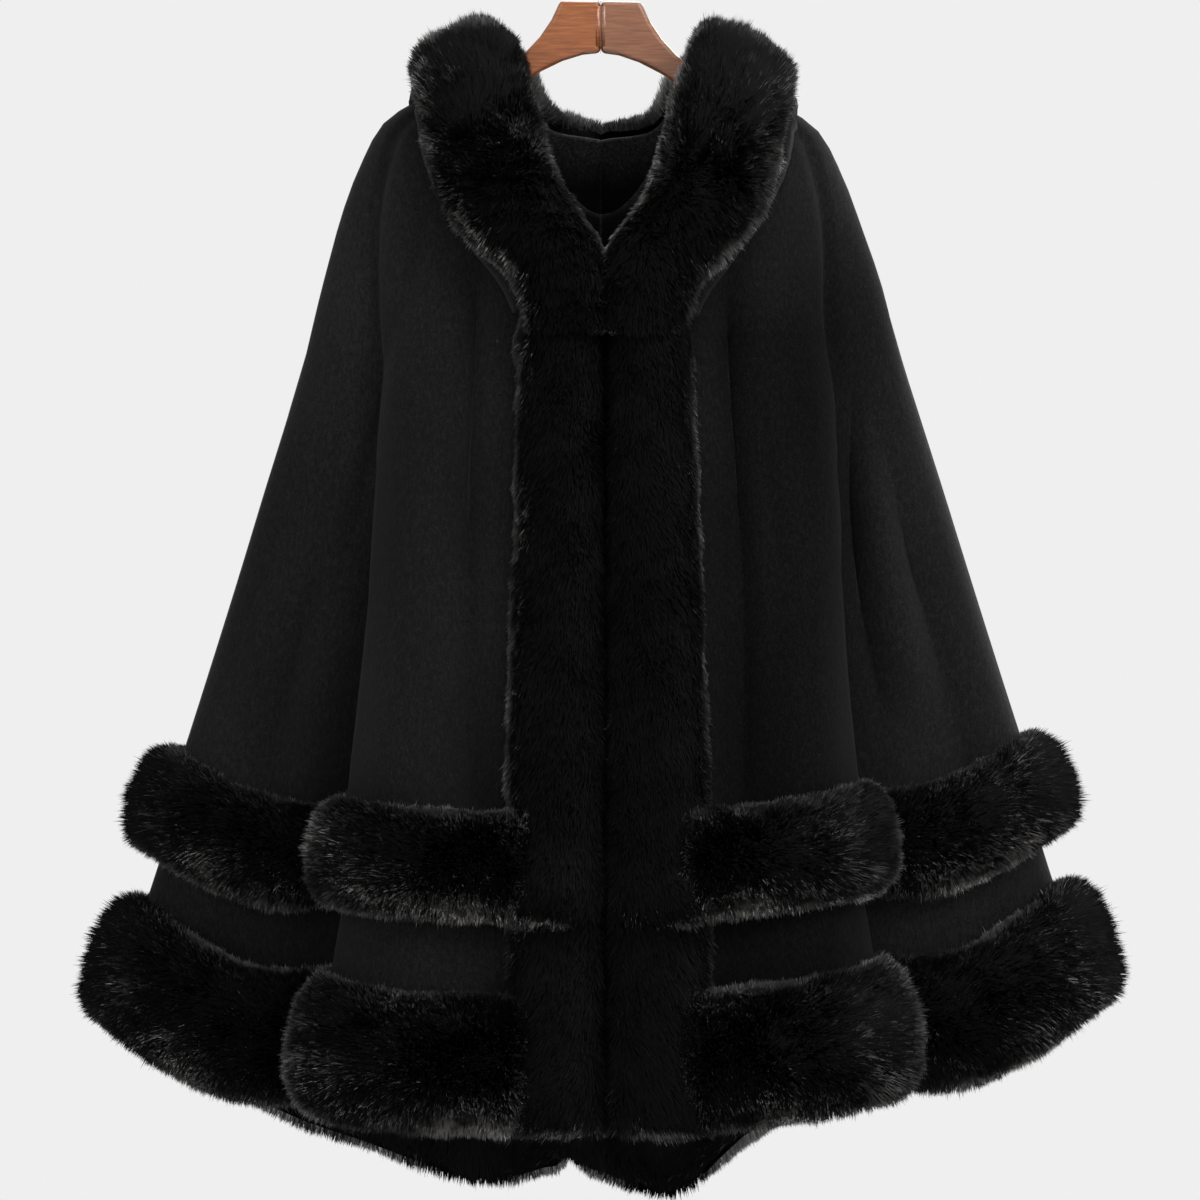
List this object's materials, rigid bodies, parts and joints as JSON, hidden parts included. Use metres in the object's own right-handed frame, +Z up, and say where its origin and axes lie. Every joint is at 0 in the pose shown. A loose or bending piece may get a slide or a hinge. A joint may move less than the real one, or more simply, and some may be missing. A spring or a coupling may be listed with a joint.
{
  "type": "hooded cape coat on a wooden hanger",
  "caption": "Two-tier hooded wool cape with fur edging round the hood, down the front and along both hems, hung open-necked on a wooden coat hanger",
  "frame": {"origin": "inside of the top of the hanger's hook, where a rail carries the whole object", "axes": "+Z up, the front of the cape faces -Y, the wearer's right is at -X"},
  "size_m": [0.9149, 0.4099, 1.1415],
  "materials": {
    "wool_cloth": "matt brushed black wool",
    "fur": "long soft black fur",
    "hanger_wood_bright": "varnished",
    "hanger_wood_dull": "varnished",
    "hook_steel": "polished"
  },
  "bodies": {
    "root": {"under_front_left": "wool_cloth", "under_front_right": "wool_cloth", "under_back": "wool_cloth", "over_front_left": "wool_cloth", "over_front_right": "wool_cloth", "over_back": "wool_cloth", "hood_left": "wool_cloth", "hood_right": "wool_cloth", "hood_fur_left": "fur", "hood_fur_right": "fur", "front_fur_left": "fur", "front_fur_right": "fur", "over_hem_fur_left": "fur", "over_hem_fur_back": "fur", "over_hem_fur_right": "fur", "under_hem_fur_left": "fur", "under_hem_fur_back_left": "fur", "under_hem_fur_back_right": "fur", "under_hem_fur_right": "fur", "hanger_left": "hanger_wood_bright", "hanger_right": "hanger_wood_dull", "hanger_hook": "hook_steel"}
  },
  "joints": []
}
